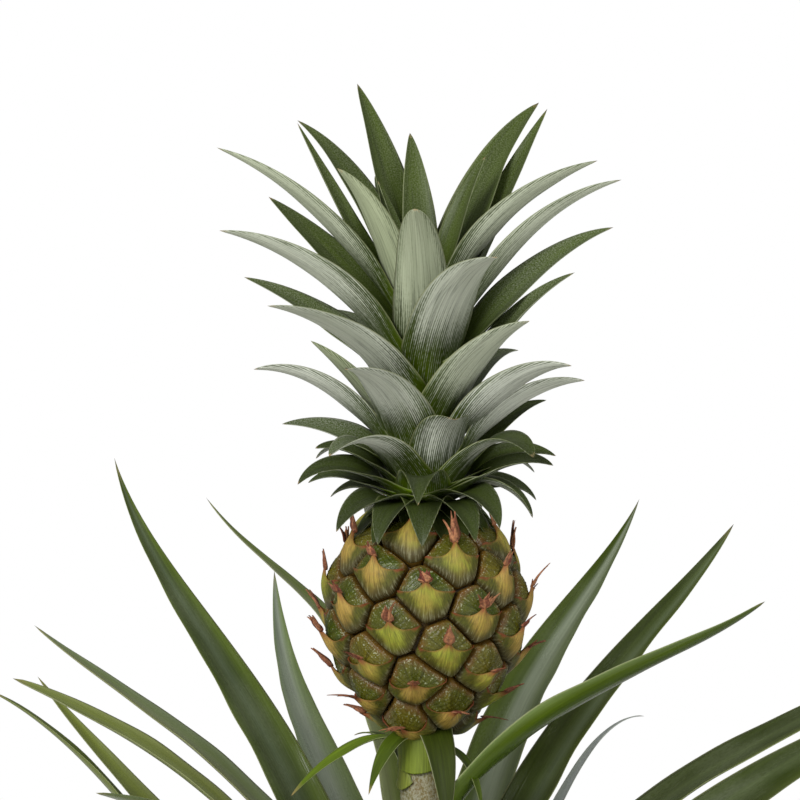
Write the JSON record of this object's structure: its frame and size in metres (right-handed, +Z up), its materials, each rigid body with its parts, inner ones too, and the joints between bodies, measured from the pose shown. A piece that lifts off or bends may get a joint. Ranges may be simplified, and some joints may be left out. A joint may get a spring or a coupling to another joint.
{
  "type": "potted pineapple plant",
  "caption": "Young pineapple plant with a small ripening fruit and its crown on an upright stalk, in a rosette of long arching leaves, standing in a plain round pot.",
  "frame": {"origin": "centre of the pot's flat underside", "axes": "+Z up along the stem, -Y towards the front that the picture shows, +X to its right"},
  "size_m": [0.386, 0.5277, 0.5692],
  "materials": {
    "pot": "matt moulded terracotta-coloured plastic",
    "soil": "loose moist potting mix",
    "stalk": "scurfy green stalk",
    "fruit": "satin rind with papery bracts",
    "crown": "satin grey-green leaves",
    "leaf": "satin dark green leaves with pale scurf"
  },
  "bodies": {
    "root": {"pot": "pot", "soil": "soil", "stalk": "stalk", "fruit": "fruit", "crown": "crown", "leaf_01": "leaf", "leaf_02": "leaf", "leaf_03": "leaf", "leaf_04": "leaf", "leaf_05": "leaf", "leaf_06": "leaf", "leaf_07": "leaf", "leaf_08": "leaf", "leaf_09": "leaf", "leaf_10": "leaf", "leaf_11": "leaf", "leaf_12": "leaf", "leaf_13": "leaf", "leaf_14": "leaf", "leaf_15": "leaf", "leaf_16": "leaf", "leaf_17": "leaf", "leaf_18": "leaf", "leaf_19": "leaf", "leaf_20": "leaf", "leaf_21": "leaf", "leaf_22": "leaf", "leaf_23": "leaf", "leaf_24": "leaf", "leaf_25": "leaf", "leaf_26": "leaf", "leaf_27": "leaf"}
  },
  "joints": []
}
